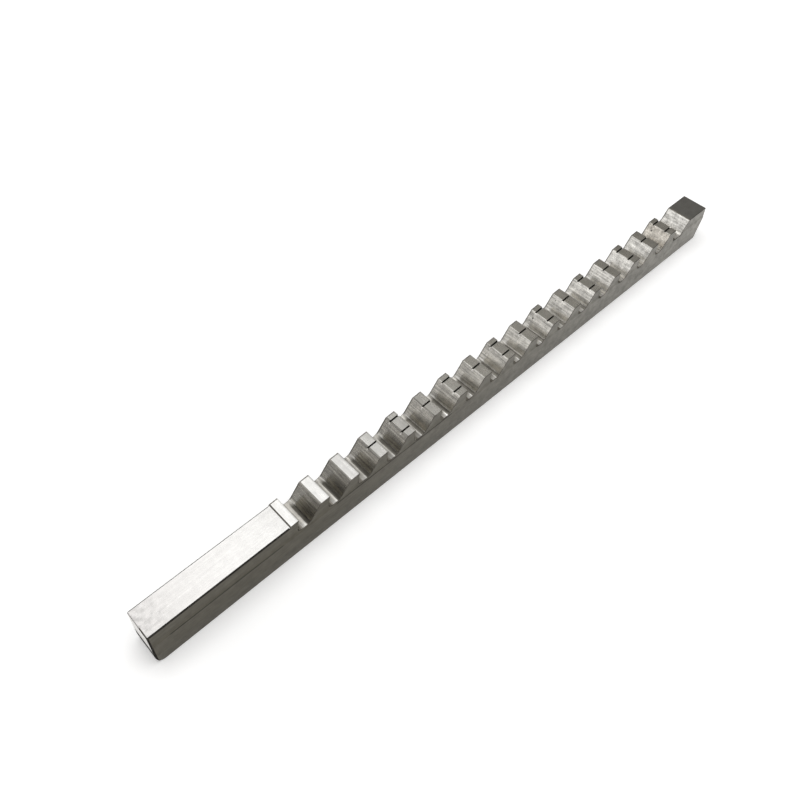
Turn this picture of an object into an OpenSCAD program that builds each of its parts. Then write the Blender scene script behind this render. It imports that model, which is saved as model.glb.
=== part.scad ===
// Push-type keyway broach: one straight steel bar with a row of teeth along its top.
// The bar lies along X, with the plain shank at -X and the plain pilot at +X, teeth up.
// The origin is the middle of the bottom face. Lengths are in millimetres, angles in degrees.

/* [Body] */
// Width of the lower body, which slides in the slot of a guide bushing
body_w = 14.3; // [10:0.1:20]
// Width of the toothed part, which is the width of the keyway that it cuts
tooth_w = 14; // [9.5:0.1:19.5]
// Height of the ledge where the lower body meets the toothed part
ledge_h = 13.4; // [8:0.05:17]

/* [Shank] */
// Length of the shank's top
shank_l = 64.9; // [20:0.1:120]
// Depth of the shank's top below the finishing edges
shank_drop = 0.6; // [0.2:0.05:3]
// Chamfer along both top edges of the shank
shank_chamfer = 0.55; // [0.2:0.05:2]
// Distance by which those chamfers stop short of the first land
chamfer_stop = 0.4; // [0.1:0.1:5]
// Radius of the round lower corner of the shank's end
end_r = 4.2; // [1:0.1:7]
// Chamfer along the two upright edges of the shank's end
end_chamfer = 0.7; // [0.2:0.05:2]

/* [Teeth] */
// Number of teeth
tooth_count = 17; // [6:1:24]
// Number of finishing teeth next to the shank, which are of one height and have no chip breakers
finishing_count = 3; // [1:1:5]
// Height of the finishing edges above the bottom face
finishing_h = 22.1; // [18:0.1:30]
// Rise from each roughing edge to the next
rise = 0.17; // [0.05:0.01:0.25]
// Distance from each cutting edge to the next
pitch = 15.95; // [14:0.01:24]
// Length of the land behind each cutting edge
land_l = 4.9; // [3:0.1:6.5]
// Length of the land that meets the shank
shank_land_l = 4.24; // [2:0.01:8]
// Slope of each land down from its cutting edge
relief_angle = 2.5; // [1:0.1:6]

/* [Gullets] */
// Depth of each gullet below its cutting edge
gullet_depth = 7.6; // [5:0.1:8]
// Radius between the cutting face and the gullet's floor
foot_r = 1.8; // [1:0.1:2.2]
// Radius between the gullet's floor and the back of the next tooth
sweep_r = 4.2; // [1.5:0.1:5]
// Hook angle of the cutting face, which leans over the gullet
hook_angle = 9; // [2:0.5:15]
// Slope of the straight back of each tooth
back_angle = 51; // [42:1:60]

/* [Chip breakers] */
// Width of each slot across a roughing edge
breaker_w = 0.8; // [0.4:0.1:2]
// Depth of each slot below the cutting edge
breaker_depth = 0.7; // [0.4:0.1:2]
// Distance between the two slots of an even tooth
breaker_spacing = 7.3; // [4:0.1:9]
// Sideways shift of all the slots from the middle of the bar
breaker_shift = 0.4; // [-1:0.1:1]

/* [Pilot] */
// Length of the pilot's top
pilot_l = 15.5; // [5:0.1:40]
// Length of the gullet between the first roughing edge and the pilot's top
pilot_gullet_l = 12.6; // [10:0.1:20]
// Depth of the pilot's top below the first roughing edge
pilot_drop = 0.54; // [0.1:0.01:2]
// Length by which the pilot's end is cut back at the bottom
nose_relief_l = 4.4; // [0.5:0.1:6]
// Height at which the cut under the pilot's end starts
nose_relief_h = 12.5; // [2:0.1:13]

/* [Hidden] */
$fn = 96;
steel = "#b4b2ab";
// How far a cutting shape reaches past the surface that it cuts
reach = 1;
// Angle at which a round corner crosses the flat faces beside it
crossing_angle = 12;
foot_in = foot_r * cos(crossing_angle);
sweep_in = sweep_r * cos(crossing_angle);
end_in = end_r * cos(crossing_angle);

first_edge_x = shank_l + shank_land_l;
last_edge_x = first_edge_x + (tooth_count - 1) * pitch;
pilot_x = last_edge_x + pilot_gullet_l;
bar_l = pilot_x + pilot_l;
shank_h = finishing_h - shank_drop;
pilot_h = edge_h(tooth_count - 1) - pilot_drop;
land_drop = land_l * tan(relief_angle);

// Place and height of the cutting edge of tooth k, counted from the shank
function edge_x(k) = first_edge_x + k * pitch;
function edge_h(k) = finishing_h - max(0, k - finishing_count + 1) * rise;

// Height of the land of tooth k, carried on in a straight line to the place x
function land_h(k, x) = edge_h(k) - (edge_x(k) - x) * tan(relief_angle);

// Top of the back that closes the gullet of tooth k: the rear edge of the next land, or the pilot
function back_top(k) =
    k < tooth_count - 1
        ? [edge_x(k + 1) - land_l, edge_h(k + 1) - land_drop]
        : [pilot_x, pilot_h];

// Height of the floor of the gullet of tooth k
function floor_h(k) = edge_h(k) - gullet_depth;

// Centre of the round corner at the foot of the cutting face of tooth k
function foot_centre(k) =
    let (face_x = edge_x(k) - (gullet_depth - foot_in) * tan(hook_angle))
    [face_x + foot_in / cos(hook_angle), floor_h(k) + foot_in];

// Centre of the round corner at the foot of the back that closes the gullet of tooth k
function sweep_centre(k) =
    let (top = back_top(k), z = floor_h(k) + sweep_in)
    [top[0] - (top[1] - z) / tan(back_angle) - sweep_in / sin(back_angle), z];

// Space between the cutting face, the floor and the back, up to a mouth above all the teeth
module gullet(k) {
    foot = foot_centre(k);
    sweep = sweep_centre(k);
    top = back_top(k);
    mouth_h = finishing_h + reach;
    face_mouth = [edge_x(k) + (mouth_h - edge_h(k)) * tan(hook_angle), mouth_h];
    back_mouth = [top[0] + (mouth_h - top[1]) / tan(back_angle), mouth_h];
    translate(foot) circle(r = foot_r);
    translate(sweep)
        intersection() {
            circle(r = sweep_r);
            translate([-sweep_r / 3, -2 * sweep_r]) square(2 * sweep_r);
        }
    polygon([
        face_mouth,
        foot - foot_in * [cos(hook_angle), -sin(hook_angle)],
        [foot[0], floor_h(k)],
        [sweep[0], floor_h(k)],
        sweep + sweep_in * [sin(back_angle), -cos(back_angle)],
        back_mouth,
    ]);
}

// Side view of the bar before the gullets are cut, with a sawtooth of lands along its top
module blank_profile() {
    lands = [
        for (k = [0:tooth_count - 1])
            let (start = k == 0 ? shank_l : edge_x(k - 1) + reach, end = edge_x(k) + reach)
            each [[start, land_h(k, start)], [end, land_h(k, end)]]
    ];
    tail = [[0, 0], [0, shank_h], [shank_l, shank_h]];
    nose = [
        [last_edge_x + reach, pilot_h],
        [bar_l, pilot_h],
        [bar_l, nose_relief_h],
        [bar_l - nose_relief_l, 0],
    ];
    polygon(concat(tail, lands, nose));
}

// Corner that is taken off under the shank's end
module end_corner() {
    difference() {
        translate([-reach, -reach]) square(end_in + reach);
        translate([end_in, end_in]) circle(r = end_r);
    }
}

module side_profile() {
    difference() {
        blank_profile();
        end_corner();
        for (k = [0:tooth_count - 1]) gullet(k);
    }
}

// Narrows one side of the bar above the ledge
module side_cut() {
    translate([-2 * reach, tooth_w / 2, ledge_h]) cube([bar_l + 4 * reach, body_w, finishing_h]);
}

// Chamfers one top edge of the shank
module shank_chamfer_cut() {
    corner = [tooth_w / 2, shank_h];
    side = shank_chamfer + reach;
    translate([-2 * reach, 0, 0])
        rotate([90, 0, 90])
            linear_extrude(shank_l - chamfer_stop + 2 * reach)
                polygon([corner + [reach, -side], corner + [reach, reach], corner + [-side, reach]]);
}

// Chamfers one upright edge of the shank's end
module end_chamfer_cut() {
    corner = [0, body_w / 2];
    side = end_chamfer + reach;
    translate([0, 0, -reach])
        linear_extrude(finishing_h + 2 * reach)
            polygon([corner + [-reach, -side], corner + [side, reach], corner + [-reach, reach]]);
}

// Cuts the slots of tooth k: one on odd teeth and two on even teeth
module breaker_cut(k) {
    places = k % 2 == 1 ? [0] : [-breaker_spacing / 2, breaker_spacing / 2];
    slot_l = land_l + gullet_depth / 2 + reach;
    for (y = places)
        translate([edge_x(k) + reach - slot_l, breaker_shift + y - breaker_w / 2, edge_h(k) - breaker_depth])
            cube([slot_l, breaker_w, breaker_depth + reach]);
}

module broach() {
    color(steel)
        translate([-bar_l / 2, 0, 0])
            difference() {
                rotate([90, 0, 0]) linear_extrude(body_w, center = true) side_profile();
                for (turn = [0, 1]) mirror([0, turn, 0]) {
                    side_cut();
                    shank_chamfer_cut();
                    end_chamfer_cut();
                }
                for (k = [finishing_count:tooth_count - 1]) breaker_cut(k);
            }
}

broach();
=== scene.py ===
"""A keyway broach of ground steel, lying on its flat bottom on a pale floor with its teeth up."""

import math

import bmesh
import bpy
import numpy as np
from mathutils import Matrix, Vector


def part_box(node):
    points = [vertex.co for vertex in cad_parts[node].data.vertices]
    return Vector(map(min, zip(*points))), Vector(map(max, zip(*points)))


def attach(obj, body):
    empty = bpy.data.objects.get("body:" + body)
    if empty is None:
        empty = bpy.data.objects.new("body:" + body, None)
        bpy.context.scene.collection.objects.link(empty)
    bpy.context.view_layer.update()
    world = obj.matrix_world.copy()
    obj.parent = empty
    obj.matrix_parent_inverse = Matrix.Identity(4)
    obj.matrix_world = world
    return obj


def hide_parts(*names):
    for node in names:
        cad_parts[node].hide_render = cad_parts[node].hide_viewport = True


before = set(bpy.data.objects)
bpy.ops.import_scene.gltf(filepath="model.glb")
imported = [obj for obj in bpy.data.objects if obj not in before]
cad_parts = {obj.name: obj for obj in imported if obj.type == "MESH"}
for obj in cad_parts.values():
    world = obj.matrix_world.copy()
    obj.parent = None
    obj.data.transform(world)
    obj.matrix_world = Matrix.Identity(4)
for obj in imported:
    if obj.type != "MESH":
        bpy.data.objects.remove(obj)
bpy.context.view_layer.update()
cad_low, cad_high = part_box("broach")

# Sizes of the bar in millimetres, with x counted from the shank's end; angles are in radians
# and the relief of the lands is a slope
MM = 0.001
BAR_L = (cad_high.x - cad_low.x) / MM
BODY_W = (cad_high.y - cad_low.y) / MM
FINISHING_H = cad_high.z / MM
TOOTH_W = 14.0
LEDGE_H = 13.4
SHANK_L = 64.9
SHANK_DROP = 0.6
SHANK_CHAMFER = 0.55
CHAMFER_STOP = 0.4
END_R = 4.2
END_CHAMFER = 0.7
TOOTH_COUNT = 17
FINISHING_COUNT = 3
RISE = 0.17
PITCH = 15.95
LAND_L = 4.9
SHANK_LAND_L = 4.24
RELIEF = math.tan(math.radians(2.5))
GULLET_DEPTH = 7.6
FOOT_R = 1.8
SWEEP_R = 4.2
HOOK = math.radians(9)
BACK_SLOPE = math.radians(51)
BREAKER_W = 0.8
BREAKER_DEPTH = 0.7
BREAKER_SPACING = 7.3
BREAKER_SHIFT = 0.4
PILOT_L = 15.5
PILOT_DROP = 0.54
NOSE_RELIEF_L = 4.4
NOSE_RELIEF_H = 12.5

FIRST_EDGE_X = SHANK_L + SHANK_LAND_L
SHANK_H = FINISHING_H - SHANK_DROP
PILOT_X = BAR_L - PILOT_L

# Reach of the small curves at the cutting edges and at the rear corners of the lands, in millimetres
EDGE_SOFT = 0.12
CORNER_SOFT = 0.16
# Width and drop of the round edges along both sides of the top
EDGE_WIDTH = 0.22
EDGE_DROP = 0.08
# Radius of the round edges along the bottom and around the two ends
BASE_FILLET = 0.2
END_FILLET = 0.3
# Half the height of the small slope at the ledge
LEDGE_SLOPE = 0.16
# Slant of the walls of the chip breakers
WALL_SLANT = 0.02
# Half the gap between two stations at a sudden change
CLOSE = 0.02
# Angle at which the round corner under the shank's end crosses the flat faces beside it
CROSSING = math.radians(12)


def edge_x(k):
    """Place of the cutting edge of tooth k, counted from the shank."""
    return FIRST_EDGE_X + k * PITCH


def edge_h(k):
    """Height of the cutting edge of tooth k: the finishing teeth are of one height."""
    return FINISHING_H - max(0, k - FINISHING_COUNT + 1) * RISE


PILOT_H = edge_h(TOOTH_COUNT - 1) - PILOT_DROP


def land_rear(k):
    """Rear edge of the land of tooth k, or of the pilot's top after the last tooth."""
    if k == 0:
        return np.array([SHANK_L, edge_h(0) - SHANK_LAND_L * RELIEF])
    if k == TOOTH_COUNT:
        return np.array([PILOT_X, PILOT_H])
    return np.array([edge_x(k) - LAND_L, edge_h(k) - LAND_L * RELIEF])


def along(start, end, count):
    """Points on a straight line, without its ends."""
    return [start + (end - start) * t for t in np.linspace(0, 1, count + 2)[1:-1]]


def arc(centre, radius, start, end, count):
    """Points on a part of a circle, with its ends."""
    turns = np.linspace(start, end, count)
    return [centre + radius * np.array([math.cos(a), math.sin(a)]) for a in turns]


def soften(before, corner, after, reach, count=5):
    """Points of a small curve that rounds a corner, from reach before it to reach after it."""
    a = corner + (before - corner) * reach / np.linalg.norm(before - corner)
    b = corner + (after - corner) * reach / np.linalg.norm(after - corner)
    return [(1 - t) ** 2 * a + 2 * t * (1 - t) * corner + t * t * b for t in np.linspace(0, 1, count)]


def gullet(k):
    """Cutting face, round foot, floor, round sweep and straight back of the gullet after tooth k's edge.

    The first points of the sweep's curve belong to the floor, and its last to the back.
    """
    edge = np.array([edge_x(k), edge_h(k)])
    top = land_rear(k + 1)
    floor = edge[1] - GULLET_DEPTH
    foot_x = edge[0] - (GULLET_DEPTH - FOOT_R) * math.tan(HOOK) + FOOT_R / math.cos(HOOK)
    foot = np.array([foot_x, floor + FOOT_R])
    sweep_z = floor + SWEEP_R
    sweep_x = top[0] - (top[1] - sweep_z) / math.tan(BACK_SLOPE) - SWEEP_R / math.sin(BACK_SLOPE)
    sweep = np.array([sweep_x, sweep_z])
    bottom = arc(foot, FOOT_R, math.pi - HOOK, 1.5 * math.pi, 9)
    floor_end = sweep - np.array([0, SWEEP_R])
    curve = arc(sweep, SWEEP_R, -0.5 * math.pi, BACK_SLOPE - 0.5 * math.pi, 10)
    first, last = 2, 6
    level = along(bottom[-1], floor_end, 2) + curve[:first]
    face = along(edge, bottom[0], 6)
    back = curve[last:] + along(curve[-1], top, 7)
    return face, bottom, level, curve[first:last], back


def stations():
    """The bar's top outline from the shank's end to the pilot's end, as points with their zone and tooth."""
    out = []
    shank_top = np.array([SHANK_L, SHANK_H])
    step_top = land_rear(0)
    turns = np.radians([90, 60, 30, 0])
    stop = SHANK_L - CHAMFER_STOP
    # Places along the shank's top, close together where its shape changes
    near_end = [0.5, END_CHAMFER, 1, 1.4, 2, 2.8, END_R]
    middle = np.linspace(8, stop - 4, 15)
    near_stop = [stop - 1, stop - CLOSE, stop + CLOSE, SHANK_L - 0.03]

    def add(points, zone, k=-1):
        out.extend((p, zone, k) for p in points)

    add([np.array([END_FILLET * (1 - math.sin(a)), SHANK_H]) for a in turns], "shank_end")
    add([np.array([x, SHANK_H]) for x in (*near_end, *middle, *near_stop)], "shank")
    add(along(shank_top, step_top, 1), "step")
    add(soften(shank_top, step_top, step_top + np.array([1, RELIEF]), EDGE_SOFT, 4), "step")
    for k in range(TOOTH_COUNT):
        edge = np.array([edge_x(k), edge_h(k)])
        rear = land_rear(k)
        face, bottom, level, sweep, back = gullet(k)
        top = land_rear(k + 1)
        add(along(rear, edge, 7), "land", k)
        add(soften(rear, edge, face[0], EDGE_SOFT), "edge", k)
        add(face, "face", k)
        add(bottom, "foot", k)
        add(level, "floor", k)
        add(sweep, "sweep", k)
        add(back, "back", k + 1)
        last = k == TOOTH_COUNT - 1
        after = np.array([BAR_L, PILOT_H] if last else [edge_x(k + 1), edge_h(k + 1)])
        add(soften(back[-1], top, after, CORNER_SOFT), "rear", k + 1)
    add([np.array([x, PILOT_H]) for x in np.linspace(PILOT_X + 1, BAR_L - 1, 10)], "pilot")
    add([np.array([BAR_L - END_FILLET * (1 - math.sin(a)), PILOT_H]) for a in turns[::-1]], "pilot_end")
    return out


STATIONS = stations()
POINTS = np.array([s[0] for s in STATIONS])
ZONES = [s[1] for s in STATIONS]
TEETH = [s[2] for s in STATIONS]
COUNT = len(STATIONS)


def outline_normals():
    """Unit normals of the top outline that point into the steel."""
    step = np.gradient(POINTS, axis=0)
    step /= np.linalg.norm(step, axis=1, keepdims=True)
    inward = np.stack([step[:, 1], -step[:, 0]], axis=1)
    flat = [i for i, z in enumerate(ZONES) if z in ("shank_end", "shank", "pilot", "pilot_end")]
    inward[flat] = (0, -1)
    return inward


INWARD = outline_normals()


def base_places():
    """An x on the bottom for each station, so that no line down a side crosses a gullet or another line."""
    behind_foot = 1.4
    under_edge = GULLET_DEPTH * math.tan(HOOK) + behind_foot
    places = POINTS[:, 0].copy()
    pins = [i for i in range(COUNT) if ZONES[i] not in ("land", "edge", "face", "foot")]
    for k in range(TOOTH_COUNT):
        edge = [i for i in range(COUNT) if ZONES[i] == "edge" and TEETH[i] == k]
        places[edge[0]] = edge_x(k) - under_edge
        pins.append(edge[0])
    pins = sorted(pins)
    length = np.linalg.norm(np.diff(POINTS, axis=0), axis=1)
    run = np.concatenate([[0], np.cumsum(length)])
    return np.interp(run, run[pins], places[pins])


BASE_X = base_places()
# How far along the pilot's top each station lies, from 0 to 1; 0 elsewhere
IS_PILOT = np.array([z.startswith("pilot") for z in ZONES])
ON_PILOT = np.clip((POINTS[:, 0] - PILOT_X) / PILOT_L, 0, 1) * IS_PILOT


def half_width(z):
    """Half the bar's width at a height: narrower above the ledge."""
    t = np.clip((z - (LEDGE_H - LEDGE_SLOPE)) / (2 * LEDGE_SLOPE), 0, 1)
    return BODY_W / 2 + (TOOTH_W - BODY_W) / 2 * t


def end_inset(i):
    """How far the cross-section draws in at the rounded edges of the two ends."""
    if ZONES[i] == "shank_end":
        t = POINTS[i, 0] / END_FILLET
    elif ZONES[i] == "pilot_end":
        t = (BAR_L - POINTS[i, 0]) / END_FILLET
    else:
        return 0.0
    return END_FILLET * (1 - math.sqrt(max(0.0, 1 - (1 - t) ** 2)))


def side_limit(x):
    """Half the bar's width inside the chamfers of the shank's end."""
    return BODY_W / 2 - max(0.0, END_CHAMFER - x)


def bottom_z(x):
    """Height of the bottom, which rises in a round corner at the shank's end."""
    centre = END_R * math.cos(CROSSING)
    return max(0.0, centre - math.sqrt(END_R**2 - (x - centre) ** 2)) if x < centre else 0.0


# Middle of each chip breaker across the bar
SLOT_CENTRES = [BREAKER_SHIFT + s * BREAKER_SPACING / 2 for s in (-1, 0, 1)]
# Where the narrow strip along the far edges of the teeth starts, and places beside the chip breakers
FAR_STRIP = 6.45
PLAIN_COLUMNS = (-6.4, -5.2, -1.6, 2.2, 5.6)


def top_columns():
    """Places across the top, with a close pair at each wall of a chip breaker."""
    edge = TOOTH_W / 2 - EDGE_WIDTH
    ys = [-edge, *PLAIN_COLUMNS, FAR_STRIP, edge]
    for c in SLOT_CENTRES:
        half = BREAKER_W / 2
        ys += [c - half - WALL_SLANT, c - half, c, c + half, c + half + WALL_SLANT]
    return np.array(sorted(ys))


COLUMNS = top_columns()


def slot_of(y):
    """Index of the chip breaker that a column lies in, or -1."""
    for n, c in enumerate(SLOT_CENTRES):
        if abs(y - c) < BREAKER_W / 2 + WALL_SLANT / 2:
            return n
    return -1


COLUMN_SLOT = [slot_of(y) for y in COLUMNS]


def slotted(k, slot):
    """Whether tooth k has that chip breaker: the middle one on odd teeth, the outer two on even teeth."""
    if k < FINISHING_COUNT or k >= TOOTH_COUNT or slot < 0:
        return False
    return (slot == 1) == (k % 2 == 1)


def top_point(i, column):
    """A point of the top surface, lowered to the floor of a chip breaker inside one."""
    x, z = POINTS[i]
    k = TEETH[i]
    if ZONES[i] in ("land", "edge", "face", "back", "rear") and slotted(k, COLUMN_SLOT[column]):
        floor = edge_h(k) - BREAKER_DEPTH
        if z > floor:
            z = floor
            x = min(x, edge_x(k) - BREAKER_DEPTH * math.tan(HOOK))
    return x, z


# Steps around the top's round edges, steps down a side, and steps around the bottom's round edges
FILLET_TURNS = np.radians([22.5, 45, 67.5, 90])
SIDE_ROWS = 7
BASE_TURNS = np.radians([45, 90])
# Depth of the first row under the top, and the least gap between rows on a low side
FIRST_ROW = 0.1
ROW_GAP = 0.03


def corner_rings(i):
    """Steps in and down from the top surface to the side: a round edge, or the shank's flat chamfer."""
    if ZONES[i] in ("shank_end", "shank") and POINTS[i, 0] < SHANK_L - CHAMFER_STOP:
        c = SHANK_CHAMFER
        return [(c, 0.0)] + [(c * (1 - t), c * t) for t in (0.25, 0.5, 0.75, 1.0)]
    return [(EDGE_WIDTH * (1 - math.sin(a)), EDGE_DROP * (1 - math.cos(a))) for a in (0, *FILLET_TURNS)]


def side_line(i, x_top, z_top):
    """Points down one side from the top's round edge to the bottom's, as x and z."""
    inset = end_inset(i)
    x_base = BASE_X[i] - NOSE_RELIEF_L * ON_PILOT[i]
    z_base = bottom_z(x_base) + BASE_FILLET + inset
    levels = [z_top - FIRST_ROW, LEDGE_H + LEDGE_SLOPE + (z_top - LEDGE_H) * 0.5]
    levels += [LEDGE_H + LEDGE_SLOPE, LEDGE_H - LEDGE_SLOPE, 0.5 * (LEDGE_H + NOSE_RELIEF_H), NOSE_RELIEF_H]
    levels.append(0.5 * NOSE_RELIEF_H)
    x_mid = x_top if ON_PILOT[i] > 0 else BASE_X[i]
    out = []
    for n, z in enumerate(levels):
        z = min(z, z_top - ROW_GAP * (n + 1))
        if z > NOSE_RELIEF_H:
            x = x_mid + (x_top - x_mid) * (z - NOSE_RELIEF_H) / (z_top - NOSE_RELIEF_H)
        else:
            x = x_base + (x_mid - x_base) * z / NOSE_RELIEF_H
        out.append((x, z))
    out.append((x_base, z_base))
    return out


def cross_section(i):
    """The closed loop of points at station i: the top from -Y to +Y, one side, the bottom, the other side."""
    inset = end_inset(i)
    rings = corner_rings(i)
    span = half_width(POINTS[i, 1]) - inset - rings[0][0]
    top = []
    for j, y in enumerate(COLUMNS):
        x, z = top_point(i, j)
        top.append((x, y * span / COLUMNS[-1], z - inset))
    right = []
    for dy, dz in rings[1:]:
        x, z = POINTS[i] + INWARD[i] * dz
        right.append((x, min(half_width(z) - inset - dy, side_limit(x)), z - inset))
    x_top, _, z_top = right[-1]
    line = side_line(i, x_top, z_top)
    right += [(x, min(half_width(z) - inset, side_limit(x)), z) for x, z in line]
    x_base, z_low = line[-1]
    base_y = min(BODY_W / 2 - inset, side_limit(x_base))
    for a in BASE_TURNS:
        y = base_y - BASE_FILLET * (1 - math.cos(a))
        right.append((x_base, y, z_low - BASE_FILLET * math.sin(a)))
    _, base_span, base_z = right[-1]
    bottom = [(x_base, y * base_span / COLUMNS[-1], base_z) for y in COLUMNS[::-1][1:-1]]
    left = [(x, -y, z) for x, y, z in right[::-1]]
    return top + right + bottom + left


MATERIAL_NAMES = [
    "shank_top", "land", "rear", "back", "stained_back", "face", "floor", "painted_glint_floor",
    "painted_shade_floor", "sweep", "pilot", "end", "side", "edge", "chamfer", "slot",
]
# Material of each zone of the top; the zones that aren't named here are finished like the lands
TOP_MATERIALS = {
    "shank_end": "shank_top",
    "shank": "shank_top",
    # The step carries a painted shade line
    "step": "edge",
    "face": "face",
    "foot": "painted_shade_floor",
    "floor": "floor",
    "sweep": "sweep",
    "back": "back",
    "pilot": "pilot",
    "pilot_end": "pilot",
}
# Teeth up to this one have painted shade on their rear corners and on the far edges of their backs
PAINTED_SHADE_REARS = 5
# Gullets from this one on have painted shade on their sweep
SHADED_SWEEPS = 12
# Gullets from this one on have a floor with a painted highlight at its near end
GLINT_FLOORS = 5
# The tooth with a stained back
STAINED_TOOTH = 16
# The edge of the shank's end has a painted shade line on the near side of this place
SHADE_LINE_END = -2
# The row of faces that is the ledge, and the stretches along the bar where it carries a painted shadow line
LEDGE_FACE = 7
LEDGE_SHADOW_LINES = ((5, 58), (88, 155))
# Points of a cross-section on its top, on one side with the round edges, and all around
TOP_COUNT = len(COLUMNS)
RIGHT_COUNT = len(FILLET_TURNS) + SIDE_ROWS + 1 + len(BASE_TURNS)
LOOP = 2 * TOP_COUNT - 2 + 2 * RIGHT_COUNT


def zone_material(i, p):
    """Material of the face between stations i and i + 1 that starts at loop place p."""
    zone, k = ZONES[i], TEETH[i]
    if p < TOP_COUNT - 1:
        slot = max(COLUMN_SLOT[p], COLUMN_SLOT[p + 1])
        if slotted(k, slot) and zone in ("land", "edge", "face", "back", "rear"):
            if POINTS[i, 1] > edge_h(k) - BREAKER_DEPTH:
                return "slot"
        if zone == "shank_end" and COLUMNS[p] < SHADE_LINE_END:
            return "edge"
        if zone == "back" and k <= PAINTED_SHADE_REARS and COLUMNS[p] >= FAR_STRIP:
            return "edge"
        if zone in ("land", "rear", "back") and COLUMNS[p] >= FAR_STRIP:
            return "rear"
        if zone == "rear" and k <= PAINTED_SHADE_REARS:
            return "rear"
        if zone == "sweep" and k == TOOTH_COUNT - 1:
            return "back"
        if zone == "sweep" and k >= SHADED_SWEEPS:
            return "painted_shade_floor"
        if zone == "floor" and k >= GLINT_FLOORS:
            return "painted_glint_floor"
        if zone == "back" and k == STAINED_TOOTH:
            return "stained_back"
        return TOP_MATERIALS.get(zone, "land")
    down = min(p - TOP_COUNT + 1, LOOP - 1 - p)
    # Painted shade lines along the top's round edges and on the shank's chamfers
    if down < len(FILLET_TURNS):
        return "chamfer" if zone in ("shank_end", "shank") else "edge"
    if down < RIGHT_COUNT:
        # Painted shade: the end's upright chamfers, and the bottom's round edges for the contact shadow
        if POINTS[i, 0] < END_CHAMFER or down > len(FILLET_TURNS) + SIDE_ROWS:
            return "chamfer"
        if down == LEDGE_FACE and any(start < POINTS[i, 0] < end for start, end in LEDGE_SHADOW_LINES):
            return "chamfer"
    # Painted shade: the round corner under the shank's end
    elif POINTS[i, 0] < END_R:
        return "chamfer"
    return "side"


def cap(points, faces, marks, loop, first):
    """Closes the first or the last end with a grid between the edges of its cross-section."""
    n = TOP_COUNT
    right = loop[n:n + RIGHT_COUNT]
    bottom = loop[n + RIGHT_COUNT:2 * n - 2 + RIGHT_COUNT]
    left = loop[2 * n - 2 + RIGHT_COUNT:][::-1]
    rows = [loop[:n]]
    for s in range(RIGHT_COUNT - 1):
        a, b = points[left[s]], points[right[s]]
        row = [left[s]]
        for y in COLUMNS[1:-1]:
            t = (y - COLUMNS[0]) / (COLUMNS[-1] - COLUMNS[0])
            row.append(len(points))
            points.append(tuple(a[m] + (b[m] - a[m]) * t for m in range(3)))
        rows.append(row + [right[s]])
    rows.append([left[-1], *bottom[::-1], right[-1]])
    for upper, lower in zip(rows, rows[1:]):
        for j in range(n - 1):
            quad = [upper[j], upper[j + 1], lower[j + 1], lower[j]]
            faces.append(quad if first else quad[::-1])
            marks.append("end" if first else "side")


def build_bar():
    """The whole bar as one closed mesh, with a material for each zone."""
    points, faces, marks = [], [], []
    for i in range(COUNT):
        points.extend(cross_section(i))
    for i in range(COUNT - 1):
        for p in range(LOOP):
            q = (p + 1) % LOOP
            faces.append([i * LOOP + p, (i + 1) * LOOP + p, (i + 1) * LOOP + q, i * LOOP + q])
            marks.append(zone_material(i, p))
    cap(points, faces, marks, range(LOOP), True)
    cap(points, faces, marks, range((COUNT - 1) * LOOP, COUNT * LOOP), False)
    mesh = bpy.data.meshes.new("broach_bar")
    offset = np.array([-BAR_L / 2, 0, 0])
    mesh.from_pydata([tuple((np.array(p) + offset) * MM) for p in points], [], faces)
    mesh.polygons.foreach_set("material_index", [MATERIAL_NAMES.index(m) for m in marks])
    return mesh


# Points closer than the first are joined, faces thinner than the second are taken out, and edges
# between faces that meet at more than the angle stay sharp
WELD_DISTANCE = 0.002 * MM
THIN_DISTANCE = 0.001 * MM
SHARP_ANGLE = math.radians(32)


def weld(mesh):
    """Joins points that coincide, where a chip breaker's floor gathers them."""
    bm = bmesh.new()
    bm.from_mesh(mesh)
    bmesh.ops.remove_doubles(bm, verts=bm.verts, dist=WELD_DISTANCE)
    bmesh.ops.dissolve_degenerate(bm, edges=bm.edges, dist=THIN_DISTANCE)
    bmesh.ops.recalc_face_normals(bm, faces=bm.faces)
    bm.to_mesh(mesh)
    bm.free()


bar_mesh = build_bar()
weld(bar_mesh)
bar_mesh.polygons.foreach_set("use_smooth", [True] * len(bar_mesh.polygons))
bar_mesh.set_sharp_from_angle(angle=SHARP_ANGLE)
bar = bpy.data.objects.new("broach_bar", bar_mesh)
bpy.context.scene.collection.objects.link(bar)


def new_material(name):
    """A material with its nodes, its links and its shader."""
    material = bpy.data.materials.new(name)
    material.use_nodes = True
    nodes = material.node_tree.nodes
    return material, nodes, material.node_tree.links, nodes["Principled BSDF"]


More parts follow.
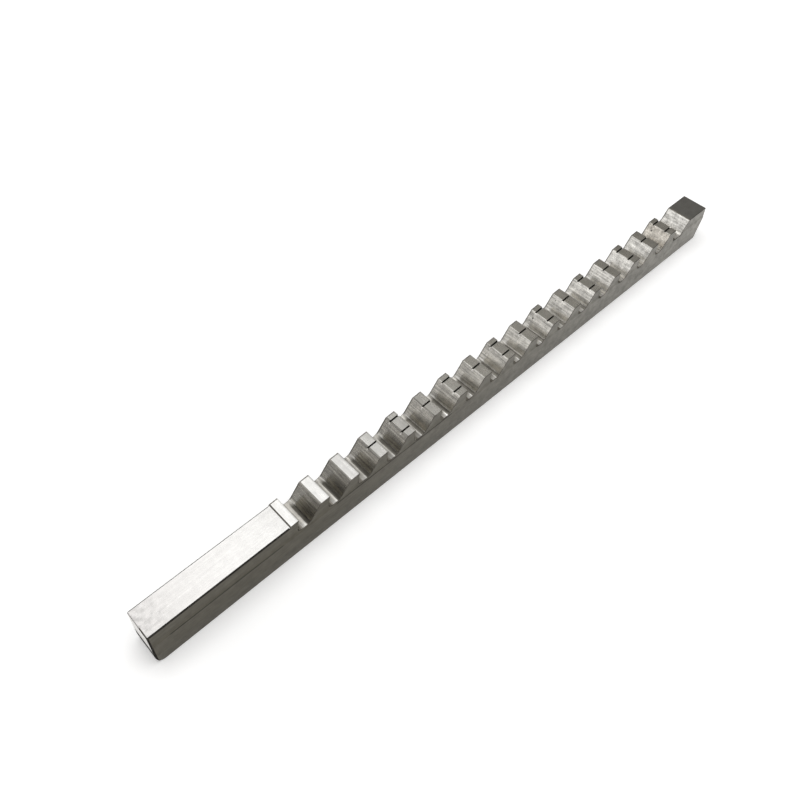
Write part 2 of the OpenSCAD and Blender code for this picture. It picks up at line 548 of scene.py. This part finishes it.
class Graph:
    """Short ways to add the nodes that the materials and the room need."""

    def __init__(self, nodes, links):
        self.nodes = nodes
        self.links = links
        self.place = nodes.new("ShaderNodeTexCoord").outputs["Object"]

    def noise(self, scale, detail=4.0):
        """Noise in the bar's own coordinates, with a scale per metre for each axis."""
        stretch = self.nodes.new("ShaderNodeMapping")
        stretch.inputs["Scale"].default_value = scale
        self.links.new(self.place, stretch.inputs["Vector"])
        noise = self.nodes.new("ShaderNodeTexNoise")
        noise.inputs["Scale"].default_value = 1.0
        noise.inputs["Detail"].default_value = detail
        self.links.new(stretch.outputs["Vector"], noise.inputs["Vector"])
        return noise.outputs["Fac"]

    def swing(self, scale, detail=4.0):
        """The same noise stretched to swing between -1 and 1."""
        return self.remap(self.noise(scale, detail), 0.3, 0.7, -1.0, 1.0)

    def axis(self, name):
        """One coordinate of the place, in metres."""
        split = self.nodes.new("ShaderNodeSeparateXYZ")
        self.links.new(self.place, split.inputs[0])
        return split.outputs[name]

    def remap(self, value, low, high, to_low, to_high):
        """A value carried in a straight line from one range to another, and held at its ends."""
        node = self.nodes.new("ShaderNodeMapRange")
        keys = ("From Min", "From Max", "To Min", "To Max")
        for key, number in zip(keys, (low, high, to_low, to_high)):
            node.inputs[key].default_value = number
        self.links.new(value, node.inputs["Value"])
        return node.outputs["Result"]

    def math(self, operation, a, b):
        """Two values or plain numbers put together."""
        node = self.nodes.new("ShaderNodeMath")
        node.operation = operation
        for socket, value in zip(node.inputs, (a, b)):
            if isinstance(value, float):
                socket.default_value = value
            else:
                self.links.new(value, socket)
        return node.outputs[0]

    def scale(self, colour, factor):
        """A colour made lighter or darker."""
        node = self.nodes.new("ShaderNodeVectorMath")
        node.operation = "SCALE"
        self.links.new(colour, node.inputs["Vector"])
        self.links.new(factor, node.inputs["Scale"])
        return node.outputs["Vector"]

    def pits(self, size):
        """1 on plain steel and darker in scattered pits, with a size in millimetres.

        Cells with a random value over the threshold hold a pit. The pits grow along the middle of the bar,
        from none on the shank's side to their full size on the pilot's.
        """
        cells_per_mm = 0.24
        threshold = 0.72
        growth = 2.5
        darkness = 0.25
        cells = self.nodes.new("ShaderNodeTexVoronoi")
        cells.inputs["Scale"].default_value = cells_per_mm / MM
        self.links.new(self.place, cells.inputs["Vector"])
        split = self.nodes.new("ShaderNodeSeparateXYZ")
        self.links.new(cells.outputs["Color"], split.inputs[0])
        chosen = self.remap(split.outputs["X"], threshold, 1.0, 0.0, growth * size * cells_per_mm)
        chosen = self.math("MULTIPLY", chosen, self.remap(self.axis("X"), -0.03, 0.05, 0.0, 1.0))
        nearness = self.math("SUBTRACT", cells.outputs["Distance"], chosen)
        return self.remap(nearness, -0.02, 0.03, darkness, 1.0)

    def blend(self, factor, a, b):
        """Colour between two others; either may be a plain colour."""
        node = self.nodes.new("ShaderNodeMix")
        node.data_type = "RGBA"
        self.links.new(factor, node.inputs["Factor"])
        for key, value in (("A", a), ("B", b)):
            socket = [s for s in node.inputs if s.name == key and s.type == "RGBA"][0]
            if isinstance(value, tuple):
                socket.default_value = (*value, 1)
            else:
                self.links.new(value, socket)
        return [s for s in node.outputs if s.type == "RGBA"][0]


# Scales per metre of the blotches, the specks and the stains
BLOTCHES = (330, 330, 330)
SPECKS = (1700, 1700, 1700)
STAINS = (420, 420, 420)
# Stretches along the bar, in metres: where the lines weaken and the blotches grow, and where stains fade
CHANGE_X = (-0.1, 0.15)
STAIN_X = (-0.176, -0.16)
# Share of the specks beside the blotches, how far the gloss swings, and the depth of the lines in metres
SPECK_SHARE = 0.6
GLOSS_SWING = 0.06
LINE_DEPTH = 0.00002


def ground_steel(name, near, far, roughness, lines, contrast=0.3, blotch=0.2, depth=0.1, spread=0.7,
                 fade=("X", -175, 170), pits=0.0, stain=0.0, grazing=(1.0, 1.0)):
    """Ground steel with grinding lines, soft blotches in tone and gloss, fine specks, and small dark pits.

    Its colour goes from near to far between the two places of the fade. The lines have a scale per metre
    for each axis, and the gloss spreads across them. Lines weaken and blotches grow towards +X. Stains
    lie near the shank's end. Grazing values under 1, near and far, darken the steel where it is seen edge-on.
    """
    material, nodes, links, shader = new_material(name)
    graph = Graph(nodes, links)
    shader.inputs["Metallic"].default_value = 1.0
    streaks = graph.swing(lines)
    blotches = graph.swing(BLOTCHES, 5.0)
    specks = graph.swing(SPECKS, 2.0)
    place_x = graph.axis("X")
    fine = graph.math("MULTIPLY", streaks, graph.remap(place_x, *CHANGE_X, contrast, 0.4 * contrast))
    spots = graph.math("ADD", blotches, graph.math("MULTIPLY", specks, SPECK_SHARE))
    coarse = graph.math("MULTIPLY", spots, graph.remap(place_x, *CHANGE_X, 0.6 * blotch, 1.4 * blotch))
    uneven = graph.math("ADD", fine, coarse)
    tone = graph.math("ADD", uneven, 1.0)
    if pits:
        tone = graph.math("MULTIPLY", tone, graph.pits(pits))
    if stain:
        patch = graph.remap(graph.noise(STAINS, 3.0), 0.45, 0.7, 0.0, 1.0)
        here = graph.remap(place_x, *STAIN_X, stain, 0.0)
        tone = graph.math("SUBTRACT", tone, graph.math("MULTIPLY", patch, here))
    axis, start, end = fade
    passed = graph.remap(graph.axis(axis), start * MM, end * MM, 0.0, 1.0)
    links.new(graph.scale(graph.blend(passed, near, far), tone), shader.inputs["Base Color"])
    gloss = graph.remap(uneven, -0.5, 0.5, roughness + GLOSS_SWING, roughness - GLOSS_SWING)
    links.new(gloss, shader.inputs["Roughness"])
    edge_on, edge_on_far = grazing
    shader.inputs["Specular Tint"].default_value = (edge_on, edge_on, edge_on, 1)
    if edge_on != edge_on_far:
        tint = graph.blend(passed, (edge_on,) * 3, (edge_on_far,) * 3)
        links.new(tint, shader.inputs["Specular Tint"])
    shader.inputs["Anisotropic"].default_value = spread
    across = nodes.new("ShaderNodeTangent")
    across.direction_type = "RADIAL"
    across.axis = "Y" if lines[0] > lines[1] else "X"
    links.new(across.outputs["Tangent"], shader.inputs["Tangent"])
    bump = nodes.new("ShaderNodeBump")
    bump.inputs["Strength"].default_value = depth
    bump.inputs["Distance"].default_value = LINE_DEPTH
    links.new(streaks, bump.inputs["Height"])
    links.new(bump.outputs["Normal"], shader.inputs["Normal"])
    return material


# Grinding lines along the bar and across it, as scales per metre
LINES_X = (40, 1400, 1400)
LINES_Y = (1000, 60, 1000)
# Edge-on brightness of the steel with painted shade, kept low so that it stays dark seen edge-on
PAINTED_SHADE_GRAZING = (0.15, 0.15)


def plain(name, colour, roughness, lines, **options):
    """Ground steel of one colour along the whole bar."""
    return ground_steel(name, colour, colour, roughness, lines, **options)


MATERIALS = {
    "shank_top": ground_steel("steel_shank_top", (0.55, 0.54, 0.535), (0.67, 0.667, 0.66), 0.27, LINES_X,
                              contrast=0.04, blotch=0.06, depth=0.02, spread=0, fade=("X", -176, -120),
                              stain=0.3),
    "land": ground_steel("steel_land", (0.66, 0.658, 0.647), (0.67, 0.658, 0.622), 0.28, LINES_Y,
                         contrast=0.1, blotch=0.1, spread=0, fade=("X", -80, 0)),
    # Painted shade: dark lines at the rear corners of the first lands and along the far edges of the teeth
    "rear": plain("steel_rear_painted_shade", (0.3, 0.29, 0.27), 0.4, LINES_Y, contrast=0.2),
    # Painted shade: the backs of the first teeth are painted darker than the rest; the lines and pits are the
    # steel's own
    "back": ground_steel("steel_back_painted_shade", (0.51, 0.498, 0.466), (0.65, 0.636, 0.602), 0.22, LINES_Y,
                         contrast=0.54, blotch=0.22, depth=0.14, fade=("X", -95, -30), pits=0.26),
    "stained_back": plain("steel_stained_back", (0.6, 0.565, 0.51), 0.26, LINES_Y, contrast=0.4, blotch=0.28,
                          depth=0.12, pits=0.26),
    # Painted shade: the cutting faces are dark on the first teeth, for the shade that they stand in and that
    # the backs mirror
    "face": ground_steel("steel_face_painted_shade", (0.23, 0.215, 0.181), (0.95, 0.925, 0.87), 0.36, LINES_Y,
                         contrast=0.15, fade=("X", -60, 130)),
    # Painted highlight: the floors of the first gullets are lighter at their near ends
    "floor": ground_steel("steel_gullet_floor_painted_highlight", (0.5, 0.493, 0.472), (0.38, 0.369, 0.342), 0.32, LINES_Y,
                          spread=0, fade=("Y", -6.2, -4.2)),
    # Painted highlight: a bright glint painted at the near ends of the later gullets' floors
    "painted_glint_floor": ground_steel("steel_bright_floor", (0.95, 0.937, 0.905), (0.33, 0.318, 0.289), 0.32,
                                 LINES_Y, spread=0, fade=("Y", -5.8, -3.8)),
    # Painted shade: the feet of the gullets and the later sweeps are painted dark
    "painted_shade_floor": plain("steel_dull_floor", (0.3, 0.285, 0.255), 0.36, LINES_Y, spread=0),
    # Painted shade with a painted highlight: the sweeps are dark, and lighter at their ends on the +Y side
    "sweep": ground_steel("steel_gullet_sweep_painted_shade_and_highlight", (0.15, 0.143, 0.127), (0.6, 0.585, 0.55), 0.34, LINES_Y,
                          spread=0, fade=("Y", 3.4, 5.6)),
    "pilot": plain("steel_pilot", (0.54, 0.543, 0.54), 0.3, LINES_X, contrast=0.05, blotch=0.05),
    # Painted shade: the end is dark low down, and dark seen edge-on there, for the shadow under the shank's
    # end
    "end": ground_steel("steel_end_painted_shade", (0.06, 0.057, 0.052), (0.72, 0.708, 0.684), 0.3, LINES_Y, contrast=0.1,
                        blotch=0.15, fade=("Z", 7, 10.5), grazing=(0.05, 0.95)),
    # Painted shade: the sides are painted dark, darkest towards the shank's end, in place of the dark
    # reflections and shade on them
    "side": ground_steel("steel_side_painted_shade", (0.108, 0.1, 0.08), (0.25, 0.241, 0.218), 0.42, LINES_X,
                         contrast=0.13, blotch=0.16, fade=("X", -95, 160)),
    # Painted shade: dark lines along the top's round edges, the shank's step, the near edge of the shank's
    # end and the far edges of the first backs
    "edge": plain("steel_edge_painted_shade", (0.13, 0.123, 0.11), 0.45, LINES_X, contrast=0.2, grazing=PAINTED_SHADE_GRAZING),
    # Painted shade: the shank's chamfers, the upright chamfers of its end, the bottom's round edges, the
    # ledge lines and the round corner under the end
    "chamfer": plain("steel_chamfer_painted_shade", (0.055, 0.053, 0.048), 0.4, LINES_X, contrast=0.2, grazing=PAINTED_SHADE_GRAZING),
    # Painted shade: the chip breakers are painted near-black for the shade inside them
    "slot": plain("steel_slot_painted_shade", (0.05, 0.047, 0.042), 0.5, LINES_X, contrast=0.2, grazing=PAINTED_SHADE_GRAZING),
}
for name in MATERIAL_NAMES:
    bar_mesh.materials.append(MATERIALS[name])

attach(bar, "root")
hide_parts("broach")


def look_matrix(azimuth, elevation, roll):
    a, e, r = (math.radians(v) for v in (azimuth, elevation, roll))
    back = Vector((math.sin(a) * math.cos(e), -math.cos(a) * math.cos(e), math.sin(e)))
    right = Vector((0, 0, 1)).cross(back).normalized()
    up = back.cross(right)
    turned_right = right * math.cos(r) + up * math.sin(r)
    turned_up = up * math.cos(r) - right * math.sin(r)
    return Matrix((turned_right, turned_up, back)).transposed()


def add_camera():
    """The photograph's view of the bar."""
    image_px = 800
    focal_px = 884.31
    centre_rise_px = 97.4
    data = bpy.data.cameras.new("camera")
    data.sensor_width = 36.0
    data.lens = data.sensor_width * focal_px / image_px
    data.shift_y = -centre_rise_px / image_px
    data.clip_start = 0.01
    camera = bpy.data.objects.new("camera", data)
    axes = look_matrix(azimuth=-43.424, elevation=46.631, roll=0.545)
    offset = Vector((-33.599, 44.48, 417.592)) * MM
    camera.matrix_world = Matrix.Translation(axes @ offset) @ axes.to_4x4()
    bpy.context.scene.collection.objects.link(camera)
    bpy.context.scene.camera = camera


def add_floor():
    """A wide white floor that keeps shadows.

    Seen directly or in the steel it is lifted, little beside the bar and most of all far away.
    """
    size = 6.0
    near, far = 0.15, 1.4
    near_lift, far_lift = 0.27, 1.0
    h = size / 2
    mesh = bpy.data.meshes.new("floor")
    mesh.from_pydata([(-h, -h, 0), (h, -h, 0), (h, h, 0), (-h, h, 0)], [], [(0, 1, 2, 3)])
    floor = bpy.data.objects.new("floor", mesh)
    bpy.context.scene.collection.objects.link(floor)
    material, nodes, links, shader = new_material("floor_white")
    shader.inputs["Base Color"].default_value = (0.88, 0.885, 0.895, 1)
    shader.inputs["Roughness"].default_value = 0.9
    shader.inputs["Specular IOR Level"].default_value = 0.0
    shader.inputs["Emission Color"].default_value = (1, 1, 1, 1)
    graph = Graph(nodes, links)
    away = nodes.new("ShaderNodeVectorMath")
    away.operation = "LENGTH"
    links.new(graph.place, away.inputs[0])
    lift = graph.remap(away.outputs["Value"], near, far, near_lift, far_lift)
    links.new(graph.math("MULTIPLY", seen_rays(graph), lift), shader.inputs["Emission Strength"])
    mesh.materials.append(material)


def seen_rays(graph):
    """1 for rays that show a background: from the camera, off metal or through glass."""
    rays = graph.nodes.new("ShaderNodeLightPath").outputs
    direct = graph.math("MAXIMUM", rays["Is Camera Ray"], rays["Is Glossy Ray"])
    return graph.math("MAXIMUM", direct, rays["Is Transmission Ray"])


def add_area(name, place, aim, size, radiance):
    """A soft rectangular light of a given brightness."""
    data = bpy.data.lights.new(name, "AREA")
    data.shape = "RECTANGLE"
    data.size, data.size_y = size
    data.energy = radiance * math.pi * size[0] * size[1]
    light = bpy.data.objects.new(name, data)
    light.location = place
    light.rotation_euler = (Vector(aim) - Vector(place)).to_track_quat("-Z", "Y").to_euler()
    bpy.context.scene.collection.objects.link(light)
    return light


def add_world():
    """A dim warm room with a glow towards -X and soft light low on the other sides.

    Seen directly it is white. The soft light shows only in the steel.
    """
    side_light = 0.42
    dim, bright = (1, 0.94, 0.83), (1, 1, 1)
    world = bpy.data.worlds.new("studio")
    bpy.context.scene.world = world
    world.use_nodes = True
    nodes, links = world.node_tree.nodes, world.node_tree.links
    background = nodes["Background"]
    graph = Graph(nodes, links)
    graph.place = nodes.new("ShaderNodeTexCoord").outputs["Generated"]
    height = graph.axis("Z")
    rise = graph.math("POWER", graph.remap(height, 0.08, 0.58, 0.0, 1.0), 1.15)
    fall = graph.remap(height, 0.64, 0.78, 1.0, 0.06)
    aside = graph.remap(graph.axis("X"), 0.05, -0.35, 0.0, 1.0)
    glow = graph.math("MULTIPLY", graph.math("MULTIPLY", rise, fall), aside)
    ceiling = graph.remap(height, 0.58, 0.78, 0.11, 0.32)
    room = graph.math("ADD", glow, ceiling)
    path = nodes.new("ShaderNodeLightPath")
    front = graph.remap(graph.axis("Y"), -0.35, -0.75, 0.0, side_light)
    behind = graph.remap(graph.axis("Y"), 0.75, 0.95, 0.0, side_light)
    pilot_side = graph.remap(graph.axis("X"), 0.65, 0.92, 0.0, side_light)
    around = graph.math("MAXIMUM", graph.math("MAXIMUM", front, behind), pilot_side)
    around = graph.math("MULTIPLY", around, graph.remap(height, 0.5, 0.3, 0.0, 1.0))
    room = graph.math("ADD", room, graph.math("MULTIPLY", around, path.outputs["Is Glossy Ray"]))
    level = graph.math("MAXIMUM", room, path.outputs["Is Camera Ray"])
    tint = graph.blend(level, dim, bright)
    links.new(tint, background.inputs["Color"])
    links.new(level, background.inputs["Strength"])


def add_lights():
    """The room, a soft light overhead that the steel mirrors, and a key light that it doesn't."""
    add_world()
    add_area("overhead", place=(0, 0.35, 1.0), aim=(0, 0.35, 0), size=(0.5, 1.5), radiance=1.45)
    key = add_area("key", place=(0.3, 0, 1.3), aim=(0, 0, 0), size=(1.2, 1.2), radiance=1.75)
    key.visible_glossy = False


add_camera()
add_floor()
add_lights()
bpy.context.scene.view_settings.view_transform = "Standard"
